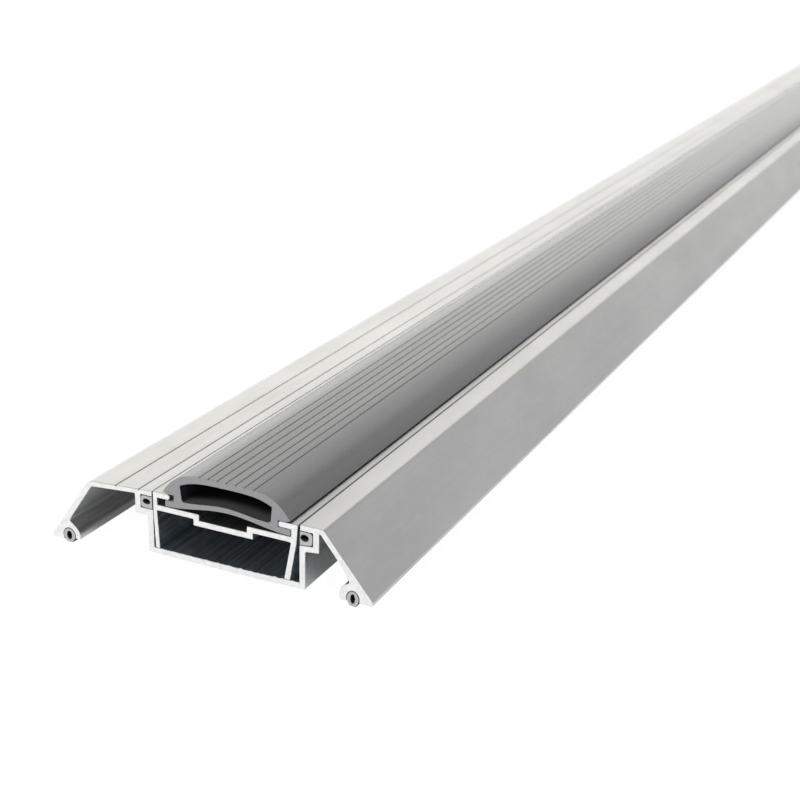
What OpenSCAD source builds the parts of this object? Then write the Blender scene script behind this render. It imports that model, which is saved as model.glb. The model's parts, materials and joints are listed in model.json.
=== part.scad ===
// Adjustable door threshold: a channelled aluminium base with two ramps, a riser that lifts
// in the channel on jack screws, and a soft domed seal clipped into the riser.
// X runs across the doorway, -X to the exterior. Y runs along the doorway. Z = 0 is the
// underside of the channel that rests on the sill.

/* [Strip] */
// Length of the strip, jamb to jamb
strip_length = 1000; // [700:10:1000]
// Distance of the first and last fixing screw hole from the ends
end_margin = 30; // [25:1:60]
// Number of adjusting screws along the strip
adjuster_count = 5; // [3:1:5]

/* [Channel] */
// Half of the clear width inside the channel
channel_half = 21.1; // [21:0.1:22]
// Thickness of the channel's floor and walls
wall = 1.6; // [1.4:0.1:1.6]
// Rise of the floor at its interior wall
floor_rise = 0.35; // [0:0.05:0.4]
// Height of the floor of the gasket grooves
groove_floor = 12; // [11.8:0.1:12.2]
// Depth of the gasket grooves, measured outwards from the channel wall
groove_depth = 3.7; // [3.6:0.1:3.8]
// Climb of the interior groove's floor, away from the channel
ledge_rise = 0.4; // [0:0.05:0.4]
// Radius of the screw holes that fix the floor to the sill
fixing_r = 2.75; // [2:0.05:3.5]

/* [Exterior wing] */
// Height of the exterior top plate at the channel mouth
out_mouth_z = 17.1; // [17:0.1:17.4]
// Position of the exterior ramp's upper corner, measured outwards from the channel's centre
out_corner_x = 40.8; // [40:0.1:41]
// Height of the exterior ramp's upper corner
out_corner_z = 15.9; // [15.6:0.1:16.2]
// Outermost point of the exterior toe
out_toe_x = 53.9; // [53.5:0.1:54.2]
// Height of the exterior toe's underside, below the channel's underside
out_toe_z = -2.8; // [-3:0.1:-2.6]
// Place of the inner fine V line along the exterior top plate, measured outwards
inner_line_x = 25.2; // [24:0.1:27]
// Place of the outer fine V line along the exterior top plate, measured outwards
outer_line_x = 32.3; // [30:0.1:34]
// Depth of the fine V lines
line_depth = 0.3; // [0.1:0.05:0.35]
// Half of the width of the socket that holds the exterior toe bead
out_socket_w = 1.98; // [1.98:0.02:2.1]
// Half of the height of the socket that holds the exterior toe bead
out_socket_h = 2.08; // [2.08:0.02:2.2]

/* [Interior wing] */
// Height of the interior top plate
in_mouth_z = 17.6; // [17.4:0.1:17.8]
// Position of the interior ramp's upper corner, measured from the channel's centre
in_corner_x = 27.7; // [27.5:0.05:28.2]
// Outermost point of the interior toe
in_toe_x = 41.8; // [41.4:0.1:41.9]
// Height of the interior toe's underside
in_toe_z = 0.35; // [0.2:0.05:0.5]
// Half of the width of the socket that holds the interior toe bead
in_socket_w = 1.78; // [1.78:0.02:1.9]
// Half of the height of the socket that holds the interior toe bead
in_socket_h = 2.11; // [2.11:0.02:2.2]

/* [Riser] */
// Exterior face of the riser
riser_left = -21; // [-21:0.01:-20.9]
// Interior face of the riser
riser_right = 20.7; // [20.4:0.1:20.9]
// Height of the lips that hold the seal, with the riser fully down
riser_top = 17.25; // [17.1:0.05:17.4]
// Thickness of the riser's web, lips and interior leg
riser_wall = 1.55; // [1.45:0.05:1.6]
// Thickness of the riser's exterior leg
left_wall = 1.25; // [1.2:0.05:1.5]
// Height of the top of the riser's web
web_top = 13.73; // [13.6:0.01:13.8]
// Height of the floor of the screw recess in the web
recess_floor = 12.05; // [12:0.01:12.1]
// Inward lean of the interior leg at its foot
right_lean = 2; // [1:0.1:2.2]
// Tip of the exterior lip
lip_left = -16; // [-16.2:0.1:-15.8]
// Tip of the interior lip
lip_right = 15.3; // [15:0.1:15.5]
// Half of the clear width of the screw recess
recess_half = 6.9; // [6.7:0.1:7.1]

/* [Seal] */
// Centre of the seal's dome across the strip
seal_x = 0.3; // [0.2:0.1:0.4]
// Half of the seal's overall width
seal_half = 18.3; // [18:0.05:18.4]
// Height of the crown above the lips
seal_rise = 6.68; // [6.4:0.02:7]
// Gap under the seal's outer edges
edge_gap = 0.4; // [0.1:0.05:0.4]
// Number of grip grooves along the crown
grip_count = 7; // [3:1:7]
// Distance between grip grooves
grip_pitch = 2.6; // [2:0.1:2.8]
// Depth of a grip groove
grip_depth = 0.35; // [0.1:0.05:0.4]

/* [Toe beads and gaskets] */
// Half of the width of the exterior toe bead
out_bead_w = 1.9; // [1.8:0.05:1.9]
// Half of the height of the exterior toe bead
out_bead_h = 2; // [1.9:0.05:2]
// Half of the width of the interior toe bead
in_bead_w = 1.7; // [1.6:0.02:1.7]
// Half of the height of the interior toe bead
in_bead_h = 2.05; // [1.9:0.05:2.05]
// Half of the width of the hole along a riser gasket
gasket_hole_w = 1.05; // [0.6:0.05:1.1]
// Half of the height of the hole along the exterior riser gasket
out_gasket_hole_h = 0.65; // [0.5:0.05:0.9]
// Half of the height of the hole along the interior riser gasket
in_gasket_hole_h = 0.8; // [0.5:0.05:0.9]

/* [Adjusting screw] */
// Major radius of the adjusting screw's thread
screw_r = 2.5; // [2.3:0.05:2.5]
// Radius of the adjusting screw's head
head_r = 5; // [4.5:0.1:5.2]
// Height of the adjusting screw's head
head_h = 2.9; // [2.5:0.1:3]
// Radius of the groove that holds the retaining ring
ring_groove_r = 2; // [1.8:0.05:2]
// Radius of the retaining ring
ring_r = 4.5; // [4:0.1:4.8]
// Radius of the threaded standoff's barrel
standoff_r = 3.9; // [3.6:0.1:4.2]
// Height of the top of the threaded standoff
standoff_top = 9.2; // [8.9:0.1:9.2]
// Length of each arm pair of the screw's cross recess
cross_span = 4.6; // [4:0.1:4.8]
// Width of an arm of the cross recess
cross_w = 1; // [0.8:0.05:1.1]
// Depth of the cross recess
cross_depth = 1.8; // [1.2:0.1:2]
// Radius of the holes in the riser that pass the fixing screws and the driver
access_r = 5.5; // [5:0.1:5.5]

/* [Hidden] */
$fn = 64;
fit = 0.05;
running_fit = 0.06;
cut = 1;
edge_r = 0.3;
root_r = 0.2;
burr_r = 0.15;
lip_r = 0.72;
channel_outer = channel_half + wall;
groove_back = channel_half + groove_depth;
web_face = groove_back + 1.67;
flange_z = groove_floor - wall;
plate_t = 1.5;
out_socket = [-out_toe_x + 6, out_toe_z + 1.55];
in_socket = [in_toe_x - 6.1, in_toe_z + 0.8];
out_claw_r = 3.6;
out_claw_tip = [out_socket[0] + 3.2, out_socket[1] - 0.7, 0.45];
out_claw_root = [
  [out_socket[0] + 1.4, out_socket[1] + 3.6, 0.6],
  [out_socket[0] + 0.15, out_socket[1] + 4.35, 0.7]
];
in_claw = [in_socket[0] + 0.1, in_socket[1] + 0.35];
in_claw_r = 3.75;
in_claw_tip = [in_socket[0] - 3.3, in_socket[1] - 1, 0.5];
in_claw_root = [in_socket[0] - 0.85, in_socket[1] + 4, 0.5];
ramp_bend = [in_socket[0] - 2.6, in_socket[1] + 7.25, 3];
flat_floor = 8;
left_lean = 0.4;
lip_bottom = riser_top - riser_wall;
post_left = riser_left + left_wall;
post_right = riser_right - 1.85;
web_bottom = web_top - riser_wall;
recess_bottom = recess_floor - 1.6;
recess_wall = 1.65;
recess_x = -0.5;
leg_foot = riser_right - right_lean;
foot_rise = floor_rise * (leg_foot - flat_floor) / (channel_half - flat_floor);
gasket_corner_r = 0.9;
foot_power = 4;
foot_start = 0.7;
grip_shift = 0.5;
grip_half = 0.2;
dome_power = 4.5;
edge_seat = 1.4;
lip_gap = 1.3;
foot_arch = 1.95;
hollow_half = 13.1;
hollow_shoulder = 20.4;
hollow_crown = 1.85;
hollow_power = 3.6;
hollow_base = 16.15;
hollow_swell = 1.1;
station_pitch = (strip_length - 2 * end_margin) / adjuster_count;
ring_t = 0.6;
ring_gap = 3;
ring_top = recess_bottom - fit;
hex_t = 0.9;
hex_r = 5.5;
tip_z = 0.3;
tip_chamfer = 0.5;
head_round = 1.8;

// --- outline helpers: a profile point is [x, z, corner radius] ---

function unit(v) = v / norm(v);

// Points of an arc of a circle or an ellipse, each with no corner radius of its own
function arc(centre, rx, rz, from, to, steps = 24) = [
  for (i = [0:steps])
    let (a = from + (to - from) * i / steps)
    [centre[0] + rx * cos(a), centre[1] + rz * sin(a), 0]
];

// An ellipse as a closed outline
function ellipse(centre, rx, rz, steps = 40) = [
  for (i = [0:steps - 1])
    let (a = 360 * i / steps)
    [centre[0] + rx * cos(a), centre[1] + rz * sin(a), 0]
];

// The arc that rounds the corner at q between its neighbours p and s
function corner(p, q, s, r, steps = 6) =
  let (
    a = unit(p - q),
    b = unit(s - q),
    half = acos(a * b) / 2,
    centre = q + unit(a + b) * r / sin(half),
    first = q + a * r / tan(half) - centre,
    last = q + b * r / tan(half) - centre,
    from = atan2(first[1], first[0]),
    turn = atan2(last[1], last[0]) - from,
    sweep = turn > 180 ? turn - 360 : turn < -180 ? turn + 360 : turn
  )
  [for (i = [0:steps]) centre + r * [cos(from + sweep * i / steps), sin(from + sweep * i / steps)]];

function flat(q) = [q[0], q[1]];

// An outline with every corner rounded to its own radius
function rounded(outline) =
  let (n = len(outline))
  [for (i = [0:n - 1])
    let (p = outline[(i + n - 1) % n], q = outline[i], s = outline[(i + 1) % n])
    each (q[2] > 0 ? corner(flat(p), flat(q), flat(s), q[2]) : [flat(q)])];

// Points across a width: u runs from -1 to 1
function across(x0, x1, steps, z) = [
  for (i = [0:steps])
    let (u = 2 * i / steps - 1)
    [(x0 + x1) / 2 + u * (x1 - x0) / 2, z(u), 0]
];

function reversed(list) = [for (i = [len(list) - 1:-1:0]) list[i]];

// A fine V line cut into the edge that runs outwards from p to s, at a distance x from the centre
function v_line(p, s, x, half = 0.3) =
  let (
    slope = (s[1] - p[1]) / (s[0] - p[0]),
    edge_z = function (at) p[1] + (at - p[0]) * slope
  )
  [
    [-x + half, edge_z(-x + half), 0],
    [-x, edge_z(-x) - line_depth, 0],
    [-x - half, edge_z(-x - half), 0]
  ];

// Extrudes a profile along the whole strip
module strip(outline, extra = 0) {
  rotate([90, 0, 0])
    linear_extrude(height = strip_length + extra, center = true)
      polygon(rounded(outline));
}

// Places of the adjusting screws and of the fixing holes along the strip
function adjuster_y(i) = (i - (adjuster_count + 1) / 2) * station_pitch;
function fixing_y(i) = (i - adjuster_count / 2) * station_pitch;

module at_adjusters() {
  for (i = [1:adjuster_count])
    translate([recess_x, adjuster_y(i), 0])
      children();
}

module at_fixings() {
  for (i = [0:adjuster_count])
    translate([recess_x, fixing_y(i), 0])
      children();
}

// --- base ---

// Channel with the two gasket ledges
module channel() {
  strip([
    [-channel_outer, 0, edge_r],
    [flat_floor, 0, 0],
    [channel_outer, floor_rise, edge_r],
    [channel_outer, flange_z + 0.2, 0.5],
    [web_face, flange_z + 0.2 + ledge_rise, edge_r],
    [web_face, groove_floor + ledge_rise, 0],
    [groove_back, groove_floor + ledge_rise, 0],
    [channel_half, groove_floor, burr_r],
    [channel_half, wall + floor_rise, root_r],
    [flat_floor, wall, 0],
    [-channel_half, wall, root_r],
    [-channel_half, groove_floor, burr_r],
    [-web_face, groove_floor, 0],
    [-web_face, flange_z - 0.2, edge_r],
    [-channel_outer, flange_z - 0.2, 0.5]
  ]);
}

// Exterior top plate, ramp, toe and the claw round its bead
module exterior_wing() {
  ramp = unit([out_toe_x - out_corner_x, out_corner_z - out_toe_z]);
  inset = plate_t * (1 - ramp[0]) / ramp[1];
  mouth = [-channel_half - 0.25, out_mouth_z, burr_r];
  upper = [-out_corner_x, out_corner_z, 2.6];
  ceiling = out_mouth_z - plate_t;
  strip(concat(
    [
      [-web_face, groove_floor - fit, 0],
      [-groove_back, groove_floor - fit, 0],
      [-groove_back, ceiling, root_r],
      [mouth[0], ceiling, burr_r],
      mouth
    ],
    v_line(mouth, upper, inner_line_x),
    v_line(mouth, upper, outer_line_x),
    [
      upper,
      [-out_toe_x, out_toe_z, edge_r]
    ],
    arc(out_socket, out_socket_w, out_socket_h, 222, -16),
    [out_claw_tip],
    arc(out_socket, out_claw_r, out_claw_r, -6, 60),
    out_claw_root,
    [
      [-out_corner_x + inset, out_corner_z - plate_t + 0.05, 1.6],
      [-web_face, ceiling - 0.1, 0.4]
    ]
  ));
}

// Interior top plate, ramp, toe and the claw round its bead
module interior_wing() {
  ceiling = in_mouth_z - plate_t - 0.1;
  lip_x = channel_half + 0.2;
  floor_z = groove_floor + ledge_rise - fit;
  strip(concat(
    [
      [web_face, floor_z, 0],
      [groove_back, floor_z, 0],
      [groove_back, ceiling, root_r],
      [lip_x, ceiling, burr_r],
      [lip_x, in_mouth_z, edge_r],
      [in_corner_x, in_mouth_z, 1],
      [in_toe_x, in_toe_z + 0.4, 0.8],
      [in_toe_x - 1.2, in_toe_z, 0.4]
    ],
    arc(in_socket, in_socket_w, in_socket_h, -18, 200),
    [in_claw_tip],
    arc(in_claw, in_claw_r, in_claw_r, 190, 126),
    [
      in_claw_root,
      ramp_bend,
      [web_face, in_mouth_z - 1, 0.25]
    ]
  ));
}

module base_extrusion() {
  color("gainsboro")
    difference() {
      union() {
        channel();
        exterior_wing();
        interior_wing();
      }
      at_adjusters() {
        translate([0, 0, -cut])
          cylinder(r = standoff_r + fit, h = wall + 2 * cut);
        translate([0, 0, -cut])
          cylinder(r = hex_r + 2 * fit, h = hex_t + 2 * fit + cut, $fn = 6);
      }
      at_fixings()
        translate([0, 0, -cut])
          cylinder(r = fixing_r, h = wall + 2 * cut);
    }
}

// --- riser ---

module riser_extrusion() {
  left_foot = wall + fit;
  right_foot = wall + foot_rise + fit;
  dip_left = recess_x - recess_half;
  dip_right = recess_x + recess_half;
  color("silver")
    difference() {
      strip([
        [riser_left, riser_top - fit, burr_r],
        [riser_left, web_bottom, 0],
        [riser_left + left_lean, left_foot, root_r],
        [riser_left + left_lean + left_wall, left_foot, root_r],
        [post_left - 0.15, web_bottom, edge_r],
        [dip_left - recess_wall, web_bottom, edge_r],
        [dip_left - recess_wall, recess_bottom, root_r],
        [dip_right + recess_wall, recess_bottom, root_r],
        [dip_right + recess_wall, web_bottom, edge_r],
        [post_right - 0.1, web_bottom, edge_r],
        [post_right - right_lean, right_foot, root_r],
        [leg_foot - 0.25, right_foot, root_r],
        [riser_right - 0.45, web_bottom, 0.5],
        [riser_right, riser_top, edge_r],
        [lip_right, riser_top, lip_r],
        [lip_right, lip_bottom, lip_r],
        [post_right, lip_bottom, edge_r],
        [post_right, web_top, edge_r],
        [dip_right, web_top, edge_r],
        [dip_right, recess_floor, root_r],
        [dip_left, recess_floor, root_r],
        [dip_left, web_top, edge_r],
        [post_left, web_top, edge_r],
        [post_left, lip_bottom, edge_r],
        [lip_left, lip_bottom, lip_r],
        [lip_left, riser_top + fit, lip_r]
      ]);
      at_adjusters()
        cylinder(r = screw_r + running_fit, h = web_top);
      at_fixings()
        cylinder(r = access_r, h = web_top + cut);
    }
}

// --- seal ---

// Depth of the grip grooves at a distance x from the seal's centre: a row of small V cuts
function grip(x) =
  let (
    nearest = round(x / grip_pitch),
    off = abs(x - nearest * grip_pitch) / grip_half
  )
  abs(nearest) <= (grip_count - 1) / 2 && off < 1 ? grip_depth * (1 - off) : 0;

module top_seal() {
  seat = riser_top + 2 * fit;
  hook = lip_bottom - 2 * fit;
  foot = web_top + 3 * fit;
  left_foot = lip_left - lip_gap;
  right_foot = post_right - 3 * fit;
  edge = seat + edge_gap;
  dome = function (u)
    edge + (seal_rise - edge_gap) * (1 - pow(abs(u), dome_power)) - grip(u * seal_half - grip_shift);
  underside = function (u) foot + foot_arch * (1 + cos(180 * u)) / 2;
  hollow_top = function (u) hollow_shoulder + hollow_crown * (1 - pow(abs(u), hollow_power));
  hollow_floor = function (u) hollow_base + hollow_swell * (1 + cos(180 * u)) / 2;
  color("dimgray")
    difference() {
      strip(concat(
        across(seal_x - seal_half, seal_x + seal_half, 183, dome),
        [
          [seal_x + seal_half - edge_seat, seat, 0],
          [lip_right - 2 * fit, seat, root_r],
          [lip_right - 2 * fit, hook, root_r],
          [right_foot, hook, edge_r]
        ],
        reversed(across(left_foot, right_foot, 40, underside)),
        [
          [left_foot, hook, edge_r],
          [lip_left + lip_gap, hook, root_r],
          [lip_left + lip_gap, seat, root_r],
          [seal_x - seal_half + edge_seat, seat, 0]
        ]
      ));
      strip(concat(
        across(seal_x - hollow_half, seal_x + hollow_half + 0.15, 30, hollow_top),
        [[seal_x + hollow_half - 0.2, hollow_base + 0.45, 0.5]],
        reversed(across(seal_x - hollow_half + 0.85, seal_x + hollow_half - 0.9, 24, hollow_floor)),
        [[seal_x - hollow_half + 0.45, hollow_base + 0.55, 0.4]]
      ), cut);
    }
}

// --- riser gaskets and toe beads ---

// A hollow cord filling a gasket groove on one side of the channel, side is -1 or 1.
// rise lifts its outer bottom corner, and shift moves its hole, as [towards the riser, upwards]
module riser_gasket(side, top, rise, hole_h, shift) {
  inner = channel_half + fit;
  outer = groove_back - fit;
  bottom = groove_floor + fit;
  hole = [side * ((inner + outer) / 2 - shift[0]), (bottom + top) / 2 + shift[1]];
  color("dimgray")
    difference() {
      strip([
        [side * inner, bottom, edge_r],
        [side * outer, bottom + rise, gasket_corner_r],
        [side * outer, top, gasket_corner_r],
        [side * inner, top, edge_r]
      ]);
      strip(ellipse(hole, gasket_hole_w, hole_h, 28), cut);
    }
}

module exterior_riser_gasket() {
  riser_gasket(-1, out_mouth_z - plate_t - fit, 0, out_gasket_hole_h, [0, 0.15]);
}

module interior_riser_gasket() {
  riser_gasket(1, in_mouth_z - plate_t - 0.1 - fit, ledge_rise, in_gasket_hole_h, [0.4, 0.25]);
}

// A bead round in its socket and flatter at its foot, where it bears on the sill
function bead_outline(centre, half_w, half_h, steps = 48) = [
  for (i = [0:steps - 1])
    let (
      a = 360 * i / steps,
      power = 2 / (2 + foot_power * max(0, -sin(a) - foot_start))
    )
    [
      centre[0] + half_w * sign(cos(a)) * pow(abs(cos(a)), power),
      centre[1] + half_h * sign(sin(a)) * pow(abs(sin(a)), power),
      0
    ]
];

module toe_bead(centre, half_w, half_h, hole_w, hole_h) {
  color("dimgray")
    difference() {
      strip(bead_outline(centre, half_w, half_h));
      strip(ellipse(centre, hole_w, hole_h, 28), cut);
    }
}

module exterior_toe_bead() {
  toe_bead(out_socket, out_bead_w, out_bead_h, 0.38 * out_bead_w, 0.56 * out_bead_h);
}

module interior_toe_bead() {
  toe_bead(in_socket, in_bead_w, in_bead_h, 0.32 * in_bead_w, 0.58 * in_bead_h);
}

// --- adjusters ---

// Pan head with a cross recess, plain bearing shank, ring groove and threaded shank
module adjusting_screw(i) {
  seat = recess_floor + fit;
  neck = ring_top + fit;
  ring_bottom = ring_top - ring_t - fit;
  color("lightslategray")
    translate([recess_x, adjuster_y(i), 0])
      difference() {
        rotate_extrude()
          polygon(rounded([
            [0, tip_z, 0],
            [screw_r - tip_chamfer, tip_z, 0],
            [screw_r, tip_z + tip_chamfer, 0],
            [screw_r, ring_bottom, 0],
            [ring_groove_r, ring_bottom, 0],
            [ring_groove_r, neck, 0],
            [screw_r, neck, 0],
            [screw_r, seat, 0],
            [head_r, seat, 0],
            [head_r, seat + head_h, head_round],
            [0, seat + head_h, 0]
          ]));
        for (turn = [0, 90])
          rotate([0, 0, turn])
            translate([-cross_span / 2, -cross_w / 2, seat + head_h - cross_depth])
              cube([cross_span, cross_w, cross_depth + cut]);
      }
}

// Open ring snapped into the screw's groove under the riser
module retaining_ring(i) {
  color("darkslategray")
    translate([recess_x, adjuster_y(i), ring_top - ring_t])
      difference() {
        cylinder(r = ring_r, h = ring_t);
        translate([0, 0, -cut])
          cylinder(r = ring_groove_r + fit, h = ring_t + 2 * cut);
        translate([0, -ring_gap / 2, -cut])
          cube([ring_r + cut, ring_gap, ring_t + 2 * cut]);
      }
}

// Clinched standoff: hexagon let into the floor's underside, threaded barrel above
module threaded_standoff(i) {
  color("gray")
    translate([recess_x, adjuster_y(i), 0])
      difference() {
        union() {
          cylinder(r = hex_r, h = hex_t, $fn = 6);
          cylinder(r = standoff_r, h = standoff_top);
        }
        translate([0, 0, -cut])
          cylinder(r = screw_r + fit, h = standoff_top + 2 * cut);
      }
}

base_extrusion();
riser_extrusion();
top_seal();
exterior_riser_gasket();
interior_riser_gasket();
exterior_toe_bead();
interior_toe_bead();
adjusting_screw(1);  // adjusting_screw_1
adjusting_screw(2);  // adjusting_screw_2
adjusting_screw(3);  // adjusting_screw_3
adjusting_screw(4);  // adjusting_screw_4
adjusting_screw(5);  // adjusting_screw_5
retaining_ring(1);  // retaining_ring_1
retaining_ring(2);  // retaining_ring_2
retaining_ring(3);  // retaining_ring_3
retaining_ring(4);  // retaining_ring_4
retaining_ring(5);  // retaining_ring_5
threaded_standoff(1);  // threaded_standoff_1
threaded_standoff(2);  // threaded_standoff_2
threaded_standoff(3);  // threaded_standoff_3
threaded_standoff(4);  // threaded_standoff_4
threaded_standoff(5);  // threaded_standoff_5
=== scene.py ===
import json
import math
import random

import bmesh
import bpy
from mathutils import Matrix, Vector

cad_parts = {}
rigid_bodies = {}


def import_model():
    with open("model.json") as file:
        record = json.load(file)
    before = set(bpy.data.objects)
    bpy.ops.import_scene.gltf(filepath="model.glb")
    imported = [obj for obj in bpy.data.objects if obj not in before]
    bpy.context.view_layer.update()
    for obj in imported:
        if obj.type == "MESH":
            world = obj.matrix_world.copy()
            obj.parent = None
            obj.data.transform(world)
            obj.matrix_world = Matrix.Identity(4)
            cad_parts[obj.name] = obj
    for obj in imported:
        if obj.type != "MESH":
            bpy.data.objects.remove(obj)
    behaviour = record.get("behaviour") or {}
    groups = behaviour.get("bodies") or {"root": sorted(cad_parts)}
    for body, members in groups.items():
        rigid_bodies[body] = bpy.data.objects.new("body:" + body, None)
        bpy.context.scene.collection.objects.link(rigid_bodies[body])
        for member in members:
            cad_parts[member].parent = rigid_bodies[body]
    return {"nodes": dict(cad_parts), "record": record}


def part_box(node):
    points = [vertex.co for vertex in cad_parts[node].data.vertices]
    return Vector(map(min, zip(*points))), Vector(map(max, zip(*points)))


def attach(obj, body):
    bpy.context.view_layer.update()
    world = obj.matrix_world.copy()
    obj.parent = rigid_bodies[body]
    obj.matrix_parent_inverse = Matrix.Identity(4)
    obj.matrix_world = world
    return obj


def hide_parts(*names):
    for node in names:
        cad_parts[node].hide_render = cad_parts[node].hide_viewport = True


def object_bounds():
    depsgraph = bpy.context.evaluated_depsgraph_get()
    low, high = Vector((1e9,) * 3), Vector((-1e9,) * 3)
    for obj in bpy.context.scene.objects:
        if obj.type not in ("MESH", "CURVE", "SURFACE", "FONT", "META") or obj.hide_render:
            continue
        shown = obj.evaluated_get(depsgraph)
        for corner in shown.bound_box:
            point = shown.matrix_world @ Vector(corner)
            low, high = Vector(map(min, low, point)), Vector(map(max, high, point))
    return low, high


# An adjustable door threshold on a pale studio floor. The extrusions take their outlines from the
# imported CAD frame. X runs across the doorway, Y along it and Z up. All lengths are in metres.

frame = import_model()
cad_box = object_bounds()

MM = 0.001

# --- meshes ---

WELD_DISTANCE = 1e-6
END_TOLERANCE = 1e-5
SHARP_ANGLE = math.radians(34)
AROUND = 48
EDGE_SPACING = 3 * MM
DOME_SPACING = 1.2 * MM
STATION_SPACING = 40 * MM
END_STATION = 0.8 * MM

# A corner that doubles back further than this isn't moved, and a mitre is cut off past this.
DOUBLED_BACK = 0.2
LEAST_MITRE = 0.6


def end_outlines(node):
    """Closed outlines of a CAD node's near end, each a list of (x, z) points."""
    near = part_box(node)[0].y
    bm = bmesh.new()
    bm.from_mesh(frame["nodes"][node].data)
    bmesh.ops.remove_doubles(bm, verts=bm.verts, dist=WELD_DISTANCE)
    cap = {f for f in bm.faces if all(abs(v.co.y - near) < END_TOLERANCE for v in f.verts)}
    rim = {e for e in bm.edges if sum(f in cap for f in e.link_faces) == 1}
    outlines = []
    while rim:
        outlines.append(walk(rim))
    bm.free()
    return outlines


def walk(rim):
    """Takes one closed run of edges out of rim and returns its points in order."""
    edge = min(rim, key=lambda e: (round(e.verts[0].co.x, 6), round(e.verts[0].co.z, 6)))
    first, current = edge.verts
    points = [(first.co.x, first.co.z)]
    rim.discard(edge)
    while current != first:
        points.append((current.co.x, current.co.z))
        edge = next(e for e in current.link_edges if e in rim)
        rim.discard(edge)
        current = edge.other_vert(current)
    return points


def area(points):
    """Signed area of a closed outline."""
    pairs = zip(points, points[1:] + points[:1])
    return sum(a[0] * b[1] - b[0] * a[1] for a, b in pairs) / 2


def wound(outlines):
    """The outlines with the outer one counterclockwise and the holes clockwise."""
    outer = max(outlines, key=lambda o: abs(area(o)))
    return [o if (area(o) > 0) == (o is outer) else o[::-1] for o in outlines]


def divided(points, spacing):
    """An outline with its long edges divided to at most spacing(point)."""
    dense = []
    for a, b in zip(points, points[1:] + points[:1]):
        length = math.dist(a, b)
        middle = ((a[0] + b[0]) / 2, (a[1] + b[1]) / 2)
        steps = max(1, math.ceil(length / spacing(middle)))
        for i in range(steps):
            t = i / steps
            dense.append((a[0] + t * (b[0] - a[0]), a[1] + t * (b[1] - a[1])))
    return dense


def shrunk(points, amount):
    """An outline moved into its material by amount, with mitred corners."""
    moved = []
    for before, here, after in zip(points[-1:] + points[:-1], points, points[1:] + points[:1]):
        a = (Vector(here) - Vector(before)).normalized()
        b = (Vector(after) - Vector(here)).normalized()
        inward = Vector((-a.y - b.y, a.x + b.x))
        if inward.length < DOUBLED_BACK:
            moved.append(here)
            continue
        inward.normalize()
        reach = amount / max(LEAST_MITRE, inward.dot(Vector((-a.y, a.x))))
        moved.append(tuple(Vector(here) + inward * reach))
    return moved


def stations(low, high, chamfer):
    """Places along Y of an extrusion's cross sections, closer at its chamfered ends."""
    count = max(1, round((high - low) / STATION_SPACING))
    inner = [low + (high - low) * i / count for i in range(1, count)]
    near = [low, low + chamfer, low + END_STATION]
    far = [high - END_STATION, high - chamfer, high]
    return near + inner + far


def evenly(point):
    """Spacing of outline points that leaves all but the longest edges whole."""
    return EDGE_SPACING


def finely(point):
    """Spacing of outline points that also divides the flanks of a dome."""
    return DOME_SPACING


def extrusion(outlines, low, high, chamfer, spacing=evenly, raise_rim=None):
    """A mesh of the outlines run from low to high along Y, with the second material on its ends.
    raise_rim(x, z, far) lifts the rims of the ends."""
    bm = bmesh.new()
    places = stations(low, high, chamfer)
    last = len(places) - 1
    rims = {0: [], last: []}
    for outline in wound(outlines):
        full = divided(outline, spacing)
        ends = shrunk(full, chamfer)
        rings = []
        for i, y in enumerate(places):
            section = ends if i in rims else full
            lifts = [0.0] * len(full)
            if raise_rim and i in (0, 1, last - 1, last):
                lifts = [raise_rim(x, z, i > 1) for x, z in full]
            rings.append([bm.verts.new((x, y, z + lift)) for (x, z), lift in zip(section, lifts)])
        bridge(bm, rings)
        for i in rims:
            rims[i] += [bm.edges.get(pair) for pair in zip(rings[i], rings[i][1:] + rings[i][:1])]
    for i, edges in rims.items():
        facing = Vector((0, -1 if i == 0 else 1, 0))
        filled = bmesh.ops.triangle_fill(bm, use_beauty=True, edges=edges, normal=facing)
        for face in filled["geom"]:
            if isinstance(face, bmesh.types.BMFace):
                face.material_index = 1
    bmesh.ops.recalc_face_normals(bm, faces=bm.faces)
    return bm


def bridge(bm, rings, around=False):
    """Quads between each ring of vertices and the next, and from last to first if around."""
    pairs = list(zip(rings, rings[1:]))
    if around:
        pairs.append((rings[-1], rings[0]))
    for low, high in pairs:
        for i in range(len(low)):
            j = (i + 1) % len(low)
            bm.faces.new((low[i], low[j], high[j], high[i]))


def turned(sections, count=AROUND, around=False):
    """A mesh of rings about Z, closed by its end faces, or by joining its ends if around.
    Each section is (radius, z), and radius may be a function of the angle."""
    bm = bmesh.new()
    rings = []
    for radius, z in sections:
        ring = []
        for i in range(count):
            angle = 2 * math.pi * i / count
            r = radius(angle) if callable(radius) else radius
            ring.append(bm.verts.new((r * math.cos(angle), r * math.sin(angle), z)))
        rings.append(ring)
    bridge(bm, rings, around)
    if not around:
        bm.faces.new(rings[0][::-1])
        bm.faces.new(rings[-1])
    bmesh.ops.recalc_face_normals(bm, faces=bm.faces)
    return bm


def mesh_of(bm, name):
    mesh = bpy.data.meshes.new(name)
    bm.to_mesh(mesh)
    bm.free()
    return mesh


def shaded(mesh, materials):
    """Smooth shading that stays sharp at real edges, with the named materials."""
    mesh.shade_smooth()
    mesh.set_sharp_from_angle(angle=SHARP_ANGLE)
    for material in materials:
        mesh.materials.append(MATERIALS[material])
    return mesh


def piece(name, mesh, node, place=(0, 0, 0)):
    """An object that stands for a CAD node and rides on its body."""
    obj = bpy.data.objects.new(name, mesh)
    bpy.context.scene.collection.objects.link(obj)
    obj.location = place
    weighted = obj.modifiers.new("even_normals", "WEIGHTED_NORMAL")
    weighted.keep_sharp = True
    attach(obj, BODY_OF[node])
    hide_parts(node)
    return obj


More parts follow.
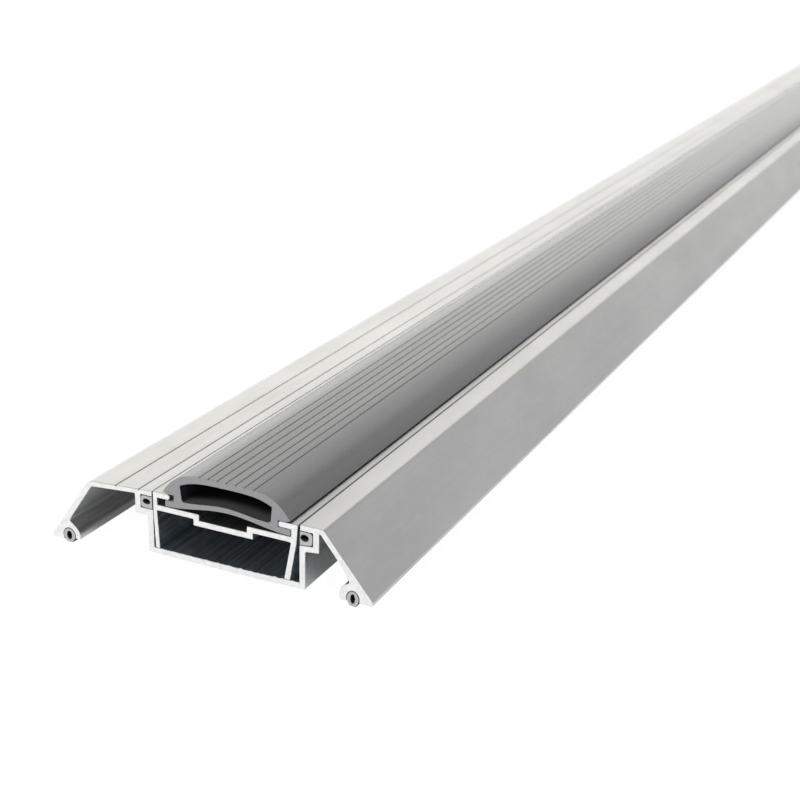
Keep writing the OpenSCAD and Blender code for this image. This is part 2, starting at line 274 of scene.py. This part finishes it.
def carve(mesh, cutters):
    """The mesh with the cutter meshes removed from it, each given as (mesh, place)."""
    scene = bpy.context.scene
    target = bpy.data.objects.new("target", mesh)
    scene.collection.objects.link(target)
    tools = bpy.data.collections.new("cutters")
    for cutter, place in cutters:
        tool = bpy.data.objects.new("cutter", cutter)
        tool.location = place
        tools.objects.link(tool)
    scene.collection.children.link(tools)
    cut = target.modifiers.new("cut", "BOOLEAN")
    cut.operand_type = "COLLECTION"
    cut.collection = tools
    cut.solver = "EXACT"
    bpy.context.view_layer.update()
    graph = bpy.context.evaluated_depsgraph_get()
    carved = bpy.data.meshes.new_from_object(target.evaluated_get(graph))
    for tool in list(tools.objects):
        bpy.data.objects.remove(tool)
    bpy.data.collections.remove(tools)
    bpy.data.objects.remove(target)
    return carved


# --- hardware sizes, each inside its CAD solid ---

THREAD_PITCH = 0.8 * MM
THREAD_RADIUS = 2.5 * MM
THREAD_DEPTH = 0.45 * MM
HEAD_RADIUS = 5 * MM
HEAD_HEIGHT = 2.9 * MM
NECK_RADIUS = 2 * MM
NECK_HEIGHT = 0.7 * MM
NECK_BELOW_HEAD = 1.65 * MM
RECESS_SPAN = 4.6 * MM
RECESS_WIDTH = 1 * MM
# Height above the head's top, and the share of the span, at each section of the recess.
RECESS_SECTIONS = ((-1.75 * MM, 0.55), (-0.5 * MM, 0.9), (0.3 * MM, 1.0))
RUN_OUT_END = 0.3 * MM
ROWS_A_PITCH = 10
CLIP_RADIUS = 4.5 * MM
CLIP_GAP_ANGLE = math.radians(20)
CLIP_STEPS = 60
CLIP_RELIEF = 0.75 * MM
CLIP_RIM = 0.06 * MM
HEX_RADIUS = 5.5 * MM
HEX_HEIGHT = 0.9 * MM
BARREL_RADIUS = 3.9 * MM
STANDOFF_BORE = 2.55 * MM
FIXING_RADIUS = 2.75 * MM
ACCESS_RADIUS = 5.5 * MM
RISER_BORE = 2.56 * MM
SCREW_ROW_X = -0.5 * MM
CLEARANCE = 0.05 * MM
RECESS_BOTTOM = 10.45 * MM
RECESS_FLOOR = 12.05 * MM

# --- extrusion sizes ---

WALL = 1.6 * MM
CHANNEL_HALF = 21.1 * MM
FLAT_FLOOR = 8 * MM
FLOOR_RISE = 0.35 * MM
RIM = 0.09 * MM
SEAL_RIM = 0.05 * MM
CORD_RIM = 0.12 * MM
FLOOR_TOLERANCE = 0.12 * MM
FLOOR_MARGIN = 0.2 * MM
BURR_HEIGHT = 0.09 * MM
BURR_SPACING = 0.3 * MM
BURR_WAVES = 9
BURR_SEED = 11

# Height below which shade is painted on the inside of the channel, and the extent of the seal's
# hollow, where shade is painted too
WEB_BOTTOM = 12.18 * MM
HOLLOW_HALF = 13.5 * MM
HOLLOW_TOP = 22.28 * MM

# --- materials ---

# The saw blade's centre, the distance between the arcs it leaves, and how much they waver
BLADE_CENTRE = (-0.06, 0.0, 0.17)
BLADE_FEED = 0.42 * MM
BLADE_WOBBLE = 0.4 * MM


def shader(tree, kind, inputs=None, **settings):
    """Adds a node, with its settings, and its inputs given as values or as sockets to join."""
    made = tree.nodes.new(kind)
    for key, value in settings.items():
        setattr(made, key, value)
    for key, value in (inputs or {}).items():
        if isinstance(value, bpy.types.NodeSocket):
            tree.links.new(value, made.inputs[key])
        else:
            made.inputs[key].default_value = value
    return made


def empty_material(name):
    material = bpy.data.materials.new(name)
    material.use_nodes = True
    material.node_tree.nodes.clear()
    return material, material.node_tree


def noise(tree, scale, detail=2.0, roughness=0.5):
    """Noise in the object's own space, whose grains are 1 / scale metres along X, Y and Z."""
    place = shader(tree, "ShaderNodeTexCoord").outputs["Object"]
    mapped = shader(tree, "ShaderNodeMapping", {"Vector": place, "Scale": scale})
    inputs = {"Vector": mapped.outputs[0], "Scale": 1.0, "Detail": detail, "Roughness": roughness}
    return shader(tree, "ShaderNodeTexNoise", inputs).outputs["Fac"]


def ranged(tree, value, low, high, start=0.3, end=0.7):
    """value taken from start to end onto low to high."""
    inputs = {"Value": value, "From Min": start, "From Max": end, "To Min": low, "To Max": high}
    return shader(tree, "ShaderNodeMapRange", inputs).outputs[0]


def tinted(tree, colour, shade):
    """A colour multiplied by a grey value."""
    inputs = {0: colour, "Scale": shade}
    return shader(tree, "ShaderNodeVectorMath", inputs, operation="SCALE").outputs[0]


def math_node(tree, operation, a, b=0.0):
    return shader(tree, "ShaderNodeMath", {0: a, 1: b}, operation=operation).outputs[0]


def product(tree, first, *others):
    for other in others:
        first = math_node(tree, "MULTIPLY", first, other)
    return first


def total(tree, first, *others):
    for other in others:
        first = math_node(tree, "ADD", first, other)
    return first


def bumped(tree, height, distance, strength=1.0):
    inputs = {"Height": height, "Distance": distance, "Strength": strength}
    return shader(tree, "ShaderNodeBump", inputs).outputs[0]


def finished(tree, inputs):
    surface = shader(tree, "ShaderNodeBsdfPrincipled", inputs)
    shader(tree, "ShaderNodeOutputMaterial", {"Surface": surface.outputs[0]})


def within(tree, half_width, top, ease=0.3 * MM):
    """1 on the faces closer to the centre than half_width and lower than top, 0 on the rest."""
    place = shader(tree, "ShaderNodeTexCoord").outputs["Object"]
    split = shader(tree, "ShaderNodeSeparateXYZ", {0: place})
    sideways = math_node(tree, "ABSOLUTE", split.outputs["X"])
    beside = ranged(tree, sideways, 1, 0, half_width, half_width + ease)
    below = ranged(tree, split.outputs["Z"], 1, 0, top, top + ease)
    return product(tree, beside, below)


def mill_aluminium(name, colour, roughness):
    """Extruded aluminium: fine die lines along Y and a soft satin. On the faces inside the channel,
    shade is painted into the colour: darker and cooler, with painted streaks of reflection. Those
    faces are also more deeply lined."""
    material, tree = empty_material(name)
    lines = noise(tree, (2600, 5, 2600), 3, 0.6)
    streaks = noise(tree, (1300, 3, 1300), 3, 0.7)
    bands = noise(tree, (180, 2, 180), 2)
    clouds = noise(tree, (60, 24, 60), 3, 0.6)
    marks = noise(tree, (900, 260, 900), 4, 0.7)
    # Mask of the channel's inside, where shade is painted into the colour
    painted_shade_mask = within(tree, CHANNEL_HALF + CLEARANCE, WEB_BOTTOM + CLEARANCE)
    deep_lines = product(tree, streaks, painted_shade_mask)
    # Painted shade inside the channel, broken by painted light and dark streaks of reflection
    painted_channel_shade = math_node(tree, "SUBTRACT", 1, product(tree, painted_shade_mask, ranged(tree, streaks, -0.7, 0.5)))
    shade = product(
        tree,
        ranged(tree, lines, 0.98, 1.01),
        ranged(tree, streaks, 0.985, 1.01),
        ranged(tree, bands, 0.985, 1.01),
        ranged(tree, clouds, 0.94, 1.02, 0.35, 0.65),
        ranged(tree, marks, 0.97, 1.01),
        painted_channel_shade,
    )
    # A cooler tint painted into the shaded inside of the channel
    red = ranged(tree, painted_shade_mask, 1, 0.86, 0, 1)
    green = ranged(tree, painted_shade_mask, 1, 0.93, 0, 1)
    painted_cool_shade = shader(tree, "ShaderNodeCombineXYZ", {"X": red, "Y": green, "Z": 1}).outputs[0]
    both = {0: tinted(tree, colour, shade), 1: painted_cool_shade}
    tint = shader(tree, "ShaderNodeVectorMath", both, operation="MULTIPLY").outputs[0]
    along = shader(tree, "ShaderNodeCombineXYZ", {"Y": 1.0}).outputs[0]
    grooves = total(tree, lines, product(tree, streaks, 0.3), product(tree, deep_lines, 12))
    finished(tree, {
        "Base Color": tint,
        "Metallic": 1.0,
        "Roughness": ranged(tree, lines, roughness - 0.04, roughness + 0.07),
        "Anisotropic": 0.35,
        "Tangent": along,
        "Normal": bumped(tree, grooves, 0.01 * MM, 0.7),
    })
    return material


def sawn_aluminium(name, colour):
    """Aluminium as the saw leaves it: arcs from the blade, fine scratches and a bright mottle."""
    material, tree = empty_material(name)
    place = shader(tree, "ShaderNodeTexCoord").outputs["Object"]
    arm = shader(tree, "ShaderNodeVectorMath", {0: place, 1: BLADE_CENTRE}, operation="SUBTRACT")
    reach = shader(tree, "ShaderNodeVectorMath", {0: arm.outputs[0]}, operation="LENGTH")
    wobble = product(tree, noise(tree, (900, 900, 900), 3), BLADE_WOBBLE)
    radius = total(tree, reach.outputs["Value"], wobble)
    arcs = math_node(tree, "SINE", product(tree, radius, 2 * math.pi / BLADE_FEED))
    grain = noise(tree, (4200, 4200, 4200), 3, 0.65)
    mottle = noise(tree, (650, 650, 650), 3)
    height = total(tree, grain, product(tree, arcs, 0.35))
    shade = product(tree, ranged(tree, grain, 0.94, 1.02), ranged(tree, mottle, 0.88, 1.02))
    finished(tree, {
        "Base Color": tinted(tree, colour, shade),
        "Metallic": 0.25,
        "Roughness": ranged(tree, grain, 0.45, 0.62),
        "Normal": bumped(tree, height, 0.02 * MM, 0.6),
    })
    return material


def satin_vinyl(name, colour, roughness, gloss, speckle=0.04):
    """Extruded vinyl: a faint pebbled grain with pale specks, drawn out along Y. gloss is how much
    it shines, from 0 to 1. In the hollow of the dome its colour is darkened by painted shade and
    it doesn't shine."""
    material, tree = empty_material(name)
    pebbles = noise(tree, (2800, 1400, 2800), 3, 0.6)
    flow = noise(tree, (500, 4, 500), 2)
    specks = noise(tree, (5200, 5200, 5200), 1)
    shade = total(
        tree,
        ranged(tree, pebbles, 1 - speckle, 1 + speckle),
        ranged(tree, flow, -0.03, 0.03),
        ranged(tree, specks, 0, 3 * speckle, 0.62, 0.8),
    )
    # Mask of the dome's hollow, where shade is painted into the colour and the shine is turned off
    painted_shade_mask = within(tree, HOLLOW_HALF, HOLLOW_TOP, 0.1 * MM)
    # Painted shade: the colour in the dome's hollow is darkened to 0.3 of its own
    shade = product(tree, shade, ranged(tree, painted_shade_mask, 1, 0.3, 0, 1))
    open_air = ranged(tree, painted_shade_mask, gloss, 0, 0, 1)
    finished(tree, {
        "Base Color": tinted(tree, colour, shade),
        "Roughness": ranged(tree, pebbles, roughness - 0.06, roughness + 0.08),
        "Specular IOR Level": open_air,
        "Coat Weight": product(tree, open_air, 0.15),
        "Coat Roughness": 0.28,
        "Sheen Weight": product(tree, open_air, 0.38),
        "Sheen Roughness": 0.45,
        "Normal": bumped(tree, pebbles, 0.01 * MM, 0.5),
    })
    return material


def cut_vinyl(name, colour):
    """Vinyl as the saw leaves it: dull, a little dragged, with a fine scratch pattern."""
    material, tree = empty_material(name)
    drags = noise(tree, (700, 700, 3500), 3, 0.6)
    grain = noise(tree, (3800, 3800, 3800), 2)
    finished(tree, {
        "Base Color": tinted(tree, colour, ranged(tree, drags, 0.9, 1.1)),
        "Roughness": ranged(tree, grain, 0.55, 0.75),
        "Specular IOR Level": 0.35,
        "Normal": bumped(tree, total(tree, drags, grain), 0.03 * MM, 0.6),
    })
    return material


def plated_steel(name, colour, roughness, grain_size):
    """Steel with a thin plated or phosphated skin, mottled at grain_size."""
    material, tree = empty_material(name)
    scale = 1 / grain_size
    mottle = noise(tree, (scale, scale, scale), 3, 0.6)
    fine = noise(tree, (6 * scale, 6 * scale, 6 * scale), 2)
    finished(tree, {
        "Base Color": tinted(tree, colour, ranged(tree, mottle, 0.85, 1.08)),
        "Metallic": 1.0,
        "Roughness": ranged(tree, mottle, roughness - 0.06, roughness + 0.1),
        "Normal": bumped(tree, fine, 0.01 * MM, 0.5),
    })
    return material


def studio_floor(name, seen, bounce, glow):
    """A pale, faintly glowing floor, which the camera sees as near white.
    It can't be seen from below, so that the underside can be looked at."""
    material, tree = empty_material(name)
    clouds = noise(tree, (8, 8, 8), 2)
    cool_grey = (0.95 * bounce, 0.99 * bounce, 1.04 * bounce, 1)
    diffuse = shader(tree, "ShaderNodeBsdfDiffuse", {"Color": cool_grey}).outputs[0]
    lamp = shader(tree, "ShaderNodeEmission", {"Strength": glow}).outputs[0]
    pale = shader(tree, "ShaderNodeAddShader", {0: diffuse, 1: lamp}).outputs[0]
    dark_grey = (0.06, 0.06, 0.06, 1)
    catcher = shader(tree, "ShaderNodeBsdfDiffuse", {"Color": dark_grey}).outputs[0]
    strength = ranged(tree, clouds, seen - 0.004, seen)
    white = shader(tree, "ShaderNodeEmission", {"Strength": strength}).outputs[0]
    shown = shader(tree, "ShaderNodeAddShader", {0: catcher, 1: white}).outputs[0]
    to_camera = shader(tree, "ShaderNodeLightPath").outputs["Is Camera Ray"]
    lit = shader(tree, "ShaderNodeMixShader", {"Fac": to_camera, 1: pale, 2: shown}).outputs[0]
    below = shader(tree, "ShaderNodeNewGeometry").outputs["Backfacing"]
    clear = shader(tree, "ShaderNodeBsdfTransparent").outputs[0]
    surface = shader(tree, "ShaderNodeMixShader", {"Fac": below, 1: lit, 2: clear}).outputs[0]
    shader(tree, "ShaderNodeOutputMaterial", {"Surface": surface})
    return material


MATERIALS = {
    "base": mill_aluminium("mill_aluminium_base", (0.905, 0.902, 0.882), 0.34),
    "riser": mill_aluminium("mill_aluminium_riser", (0.88, 0.878, 0.865), 0.34),
    "sawn": sawn_aluminium("sawn_aluminium", (0.95, 0.94, 0.917)),
    "seal": satin_vinyl("seal_vinyl_grain", (0.165, 0.165, 0.167), 0.2, 1.0),
    "seal_cut": cut_vinyl("seal_vinyl_cut", (0.293, 0.287, 0.292)),
    "cord": satin_vinyl("cord_vinyl_grain", (0.03, 0.03, 0.032), 0.4, 0.25),
    "cord_cut": cut_vinyl("cord_vinyl_cut", (0.46, 0.46, 0.455)),
    "zinc": plated_steel("bright_zinc", (0.72, 0.73, 0.76), 0.26, 0.9 * MM),
    "phosphate": plated_steel("phosphated_steel", (0.09, 0.085, 0.08), 0.5, 0.5 * MM),
    "standoff": plated_steel("dull_zinc", (0.62, 0.62, 0.6), 0.36, 0.8 * MM),
}

# --- places taken from the frame ---

BODIES = frame["record"]["behaviour"]["bodies"]
BODY_OF = {node: body for body, nodes in BODIES.items() for node in nodes}


def numbered(name):
    """The CAD nodes of a repeated part, in order along the strip."""
    found = [n for n in frame["nodes"] if n.startswith(name)]
    return sorted(found, key=lambda n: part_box(n)[0].y)


def centre_y(node):
    low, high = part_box(node)
    return (low.y + high.y) / 2


ADJUSTERS = [centre_y(n) for n in numbered("adjusting_screw_")]
PITCH_Y = ADJUSTERS[1] - ADJUSTERS[0]
FIXINGS = [ADJUSTERS[0] - PITCH_Y / 2 + i * PITCH_Y for i in range(len(ADJUSTERS) + 1)]

# --- extruded parts ---


def strip(name, node, materials, chamfer, spacing=evenly):
    """An extruded part with its CAD node's outline and length."""
    low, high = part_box(node)
    bm = extrusion(end_outlines(node), low.y, high.y, chamfer, spacing)
    return piece(name, shaded(mesh_of(bm, name), materials), node)


def drill(low, high, radius, count=AROUND, flare=0.15 * MM):
    """A cutter for a drilled hole with a light chamfer at both faces of the plate."""
    over = 1 * MM
    sections = [
        (radius + flare + over, low - over), (radius, low + flare),
        (radius, high - flare), (radius + flare + over, high + over),
    ]
    return mesh_of(turned(sections, count), "drill")


def hexagon(radius, limit):
    """Radius of a hexagon at an angle, with a corner on +X, turned down to limit."""
    half = math.pi / 6

    def at(angle):
        return min(limit, radius * math.cos(half) / math.cos((angle % (2 * half)) - half))

    return at


def floor_top(x):
    """Height of the channel floor's upper face, which rises a little towards the interior."""
    rise = max(0.0, (x - FLAT_FLOOR) / (CHANNEL_HALF - FLAT_FLOOR))
    return WALL + rise * FLOOR_RISE


def on_floor(x, z):
    """Whether a point of the base's outline is on the channel floor's upper face."""
    return abs(z - floor_top(x)) < FLOOR_TOLERANCE and abs(x) < CHANNEL_HALF - FLOOR_MARGIN


def near_floor(point):
    """Spacing of outline points: close along the ragged floor rim, wide elsewhere."""
    return BURR_SPACING if on_floor(*point) else evenly(point)


def saw_burr(seed):
    """Lift of the sawn rim along the channel floor: a ragged burr that grows to the interior."""
    dice = random.Random(seed)
    waves = []
    for _ in range(BURR_WAVES):
        rate = dice.uniform(1700, 6300)
        start = dice.uniform(0, 2 * math.pi)
        size = dice.uniform(0.3, 1)
        waves.append((rate, start, size))

    def lift(x, z, far):
        if not on_floor(x, z):
            return 0.0
        phase = 2.1 if far else 0.0
        wave = sum(size * math.sin(rate * x + start + phase) for rate, start, size in waves)
        growth = 0.4 + 0.6 * (x / CHANNEL_HALF + 1) / 2
        return max(0.0, wave) * growth * BURR_HEIGHT

    return lift


def base():
    """The base, with a seat and a bore for each standoff and a hole for each fixing screw."""
    node = "base_extrusion"
    low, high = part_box(node)
    bm = extrusion(end_outlines(node), low.y, high.y, RIM, near_floor, saw_burr(BURR_SEED))
    seat_radius = HEX_RADIUS + 2 * CLEARANCE
    around_foot = hexagon(seat_radius, seat_radius)
    seat_sections = [(around_foot, -1 * MM), (around_foot, HEX_HEIGHT + 2 * CLEARANCE)]
    seat = mesh_of(turned(seat_sections), "seat")
    barrel = drill(0, WALL, BARREL_RADIUS + CLEARANCE, flare=0.02 * MM)
    fixing = drill(0, WALL, FIXING_RADIUS)
    cutters = [(cutter, (SCREW_ROW_X, y, 0)) for y in ADJUSTERS for cutter in (seat, barrel)]
    cutters += [(fixing, (SCREW_ROW_X, y, 0)) for y in FIXINGS]
    mesh = shaded(carve(mesh_of(bm, "base"), cutters), ("base", "sawn"))
    return piece("extruded_base", mesh, node)


def riser():
    """The riser, with a bore for each adjusting screw and an access hole above each fixing."""
    node = "riser_extrusion"
    low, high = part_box(node)
    bm = extrusion(end_outlines(node), low.y, high.y, RIM)
    bore = drill(RECESS_BOTTOM, RECESS_FLOOR, RISER_BORE, count=40)
    access = drill(RECESS_BOTTOM, RECESS_FLOOR, ACCESS_RADIUS)
    cutters = [(bore, (SCREW_ROW_X, y, 0)) for y in ADJUSTERS]
    cutters += [(access, (SCREW_ROW_X, y, 0)) for y in FIXINGS]
    mesh = shaded(carve(mesh_of(bm, "riser"), cutters), ("riser", "sawn"))
    return piece("extruded_riser", mesh, node)


# --- adjusters ---


def thread_radius(z, root, crest, plain, low, high):
    """Radius at an angle of a right-handed thread, which runs out to plain at low and high."""

    def at(angle):
        phase = (z / THREAD_PITCH - angle / (2 * math.pi)) % 1
        tooth = min(1.0, max(0.0, 1.25 * (1 - abs(2 * phase - 1)) - 0.05))
        run_out = max(0.0, min(1.0, (z - low) / THREAD_PITCH, (high - z) / THREAD_PITCH))
        return plain + (root + (crest - root) * tooth - plain) * run_out

    return at


def threaded(low, high, root, crest, plain):
    """Ring sections of a thread from low to high, which runs out to the radius plain."""
    count = round((high - low) / THREAD_PITCH * ROWS_A_PITCH)
    heights = [low + (high - low) * i / count for i in range(count + 1)]
    return [(thread_radius(z, root, crest, plain, low, high), z) for z in heights]


def cross_recess(top):
    """A tapered cross-shaped cutter for the screw head."""
    bm = bmesh.new()
    rings = []
    for z, share in RECESS_SECTIONS:
        long = RECESS_SPAN / 2 * share
        short = RECESS_WIDTH / 2 * (0.75 + 0.25 * share)
        arm = [(long, -short), (long, short), (short, short)]
        ring = []
        for quarter in range(4):
            spin = Matrix.Rotation(quarter * math.pi / 2, 3, "Z")
            ring += [bm.verts.new(spin @ Vector((x, y, top + z))) for x, y in arm]
        rings.append(ring)
    bridge(bm, rings)
    bm.faces.new(rings[0][::-1])
    bm.faces.new(rings[-1])
    bmesh.ops.recalc_face_normals(bm, faces=bm.faces)
    return mesh_of(bm, "cross")


def screw_mesh(low, high):
    """Pan head, neck for the retaining clip, and a threaded shank, about Z."""
    seat = high - HEAD_HEIGHT
    neck_top = seat - NECK_BELOW_HEAD
    neck_low = neck_top - NECK_HEIGHT
    root = THREAD_RADIUS - THREAD_DEPTH
    crest = THREAD_RADIUS - 0.02 * MM
    ease = 0.1 * MM
    collar = THREAD_RADIUS - ease
    tip = 0.4 * MM
    sections = [(root - 0.5 * MM, low), (root, low + tip)]
    sections += threaded(low + tip + ease / 2, neck_low - RUN_OUT_END, root, crest, root)
    sections += [
        (collar, neck_low - 2 * ease),
        (collar, neck_low - ease),
        (NECK_RADIUS, neck_low),
        (NECK_RADIUS, neck_top),
        (collar, neck_top),
        (THREAD_RADIUS - ease / 2, neck_top + ease),
        (THREAD_RADIUS, seat - ease),
        (THREAD_RADIUS + ease, seat),
        (HEAD_RADIUS - 0.3 * MM, seat),
        (HEAD_RADIUS, seat + 0.25 * MM),
    ]
    shoulder = 1.1 * MM
    crown = 1.8 * MM
    crown_flat = 0.4 * MM
    steps = 8
    for i in range(steps + 1):
        a = math.pi / 2 * i / steps
        reach = HEAD_RADIUS - crown * (1 - math.cos(a))
        sections.append((reach, seat + shoulder + (HEAD_HEIGHT - shoulder) * math.sin(a)))
    sections.append((crown_flat, high))
    body = mesh_of(turned(sections), "screw")
    return carve(body, [(cross_recess(high), (0, 0, 0))])


def clip_mesh(low, high):
    """A spring clip: an open ring with three inner pads, about Z."""
    start = CLIP_GAP_ANGLE
    end = 2 * math.pi - CLIP_GAP_ANGLE
    angles = [start + (end - start) * i / CLIP_STEPS for i in range(CLIP_STEPS + 1)]
    pad = NECK_RADIUS + CLEARANCE
    outer = [(CLIP_RADIUS * math.cos(a), CLIP_RADIUS * math.sin(a)) for a in angles]
    inner = []
    for a in reversed(angles):
        r = pad + CLIP_RELIEF * math.sin(2 * a) ** 2
        inner.append((r * math.cos(a), r * math.sin(a)))
    bm = extrusion([outer + inner], low, high, CLIP_RIM)
    upright = Matrix(((1, 0, 0), (0, 0, 1), (0, 1, 0)))
    bmesh.ops.transform(bm, matrix=upright.to_4x4(), verts=bm.verts)
    bmesh.ops.recalc_face_normals(bm, faces=bm.faces)
    return mesh_of(bm, "clip")


def standoff_mesh(low, high):
    """A clinched standoff: hexagon foot, waist, chamfered barrel and a threaded bore, about Z."""
    ease = 0.25 * MM
    turned_down = HEX_RADIUS - 0.2 * MM
    waist = BARREL_RADIUS - 0.02 * MM
    sections = [
        (STANDOFF_BORE + ease, low),
        (hexagon(HEX_RADIUS - ease, turned_down - ease), low),
        (hexagon(HEX_RADIUS, turned_down), low + ease),
        (hexagon(HEX_RADIUS, turned_down), HEX_HEIGHT),
        (waist, HEX_HEIGHT),
        (waist, high - ease),
        (BARREL_RADIUS - ease, high),
        (STANDOFF_BORE + ease, high),
    ]
    crest = STANDOFF_BORE - THREAD_DEPTH + 0.04 * MM
    thread_low = low + RUN_OUT_END
    thread_high = high - RUN_OUT_END
    grooves = threaded(thread_low, thread_high, crest, STANDOFF_BORE, STANDOFF_BORE)
    sections += grooves[::-1]
    return mesh_of(turned(sections, around=True), "standoff")


def hardware(kind, name, material, build):
    """One piece for each CAD node of a repeated part, all sharing a mesh."""
    shared = None
    for i, node in enumerate(numbered(kind), 1):
        low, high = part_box(node)
        if shared is None:
            shared = shaded(build(low.z, high.z), (material, material))
        piece(f"{name}_{i}", shared, node, (SCREW_ROW_X, ADJUSTERS[i - 1], 0))


# --- studio ---

FLOOR_SIZE = 12.0
FLOOR_SEEN = 0.98
FLOOR_BOUNCE = 0.7
FLOOR_GLOW = 0.05

# Radiance of the room: low at the back left, overhead, to the right, and the front's share
ROOM_SWEEP = 1.25
ROOM_HIGH = 0.68
ROOM_RIGHT = 0.49
ROOM_RIGHT_HIGH = 0.12
ROOM_FRONT = 0.48

# Where each of these fades into the next, along a direction's Z, X, Z and Y
SWEEP_FADE = (0.24, 0.44)
RIGHT_FADE = (0.06, 0.3)
RIGHT_HIGH_FADE = (0.34, 0.62)
FRONT_FADE = (-0.2, 0.35)

# Colour of the room, and of its right side
ROOM_TINT = (1.01, 1.005, 0.98)
RIGHT_TINT = (1, 1.003, 1.024)

# The camera, from the near end of the strip's centre line
CAMERA_PLACE = (0.172194, -0.27116, 0.167532)
CAMERA_SWING = math.radians(24.815)
CAMERA_TILT = math.radians(20.769)
CAMERA_ROLL = math.radians(1.506)
CAMERA_LENS = 64.363
CAMERA_STOP = 42
FOCUS_HEIGHT = 10 * MM


def floor():
    """A flat floor that the lowest part of the strip stands on."""
    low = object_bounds()[0]
    bm = bmesh.new()
    bmesh.ops.create_grid(bm, x_segments=4, y_segments=4, size=FLOOR_SIZE / 2)
    mesh = mesh_of(bm, "studio_floor")
    mesh.materials.append(studio_floor("studio_floor", FLOOR_SEEN, FLOOR_BOUNCE, FLOOR_GLOW))
    obj = bpy.data.objects.new("studio_floor", mesh)
    obj.location = (0, 0, low.z)
    bpy.context.scene.collection.objects.link(obj)


def world():
    """White to the camera. To other rays, a soft room: bright behind the strip to the left,
    dimmer overhead and to the right, and dim in front."""
    made = bpy.data.worlds.new("studio")
    made.use_nodes = True
    tree = made.node_tree
    tree.nodes.clear()
    way = shader(tree, "ShaderNodeTexCoord").outputs["Generated"]
    split = shader(tree, "ShaderNodeSeparateXYZ", {0: way})
    sweep = ranged(tree, split.outputs["Z"], ROOM_SWEEP, ROOM_HIGH, *SWEEP_FADE)
    right = ranged(tree, split.outputs["X"], 0, 1, *RIGHT_FADE)
    low_right = ranged(tree, split.outputs["Z"], ROOM_RIGHT, ROOM_RIGHT_HIGH, *RIGHT_HIGH_FADE)
    front = ranged(tree, split.outputs["Y"], ROOM_FRONT, 1, *FRONT_FADE)
    drop = product(tree, right, total(tree, low_right, product(tree, sweep, -1)))
    light = product(tree, total(tree, sweep, drop), front)
    tints = zip("XYZ", ROOM_TINT, RIGHT_TINT)
    blend = {axis: ranged(tree, right, left, there, 0, 1) for axis, left, there in tints}
    tint = shader(tree, "ShaderNodeCombineXYZ", blend).outputs[0]
    room = shader(tree, "ShaderNodeBackground", {"Color": tint, "Strength": light}).outputs[0]
    white = shader(tree, "ShaderNodeBackground", {"Color": (1, 1, 1, 1), "Strength": 1.0}).outputs[0]
    seen = shader(tree, "ShaderNodeLightPath").outputs["Is Camera Ray"]
    mixed = shader(tree, "ShaderNodeMixShader", {"Fac": seen, 1: room, 2: white}).outputs[0]
    shader(tree, "ShaderNodeOutputWorld", {"Surface": mixed})
    bpy.context.scene.world = made


def softbox(name, place, aim, size, power, mirrored=True):
    """A rectangular lamp at place, turned to aim, which glossy surfaces mirror if mirrored."""
    light = bpy.data.lights.new(name, "AREA")
    light.shape = "RECTANGLE"
    light.size, light.size_y = size
    light.energy = power
    obj = bpy.data.objects.new(name, light)
    obj.location = place
    obj.rotation_euler = (Vector(aim) - Vector(place)).to_track_quat("-Z", "Y").to_euler()
    obj.visible_glossy = mirrored
    bpy.context.scene.collection.objects.link(obj)


def camera():
    """The camera stands in front of the near end, to the interior side, looks down along the
    strip and focuses on the near end."""
    near_end = Vector((0, cad_box[0].y, 0))
    focus = bpy.data.objects.new("focus", None)
    focus.location = near_end + Vector((0, 0, FOCUS_HEIGHT))
    bpy.context.scene.collection.objects.link(focus)
    data = bpy.data.cameras.new("camera")
    data.sensor_width = 36
    data.lens = CAMERA_LENS
    data.clip_start = 0.01
    data.dof.use_dof = True
    data.dof.focus_object = focus
    data.dof.aperture_fstop = CAMERA_STOP
    obj = bpy.data.objects.new("camera", data)
    obj.location = near_end + Vector(CAMERA_PLACE)
    swing = Matrix.Rotation(CAMERA_SWING, 4, "Z")
    tilt = Matrix.Rotation(math.pi / 2 - CAMERA_TILT, 4, "X")
    roll = Matrix.Rotation(CAMERA_ROLL, 4, "Z")
    obj.rotation_euler = (swing @ tilt @ roll).to_euler()
    bpy.context.scene.collection.objects.link(obj)
    bpy.context.scene.camera = obj


# --- scene ---

base()
riser()
strip("domed_seal", "top_seal", ("seal", "seal_cut"), SEAL_RIM, finely)
CORD = ("cord", "cord_cut")
for side in ("exterior", "interior"):
    strip(f"{side}_gasket_cord", f"{side}_riser_gasket", CORD, CORD_RIM)
    strip(f"{side}_bead_cord", f"{side}_toe_bead", CORD, CORD_RIM)
hardware("adjusting_screw_", "jack_screw", "zinc", screw_mesh)
hardware("retaining_ring_", "spring_clip", "phosphate", clip_mesh)
hardware("threaded_standoff_", "clinch_standoff", "standoff", standoff_mesh)

floor()
world()
near_end = (0, cad_box[0].y, 0)
softbox("high_softbox", (-0.6, -1.85, 1.9), near_end, (1.2, 0.9), 50, mirrored=False)
softbox("low_softbox", (0.1, -3.2, 0.3), near_end, (1.6, 0.7), 5.2)
camera()
bpy.context.scene.view_settings.view_transform = "Standard"
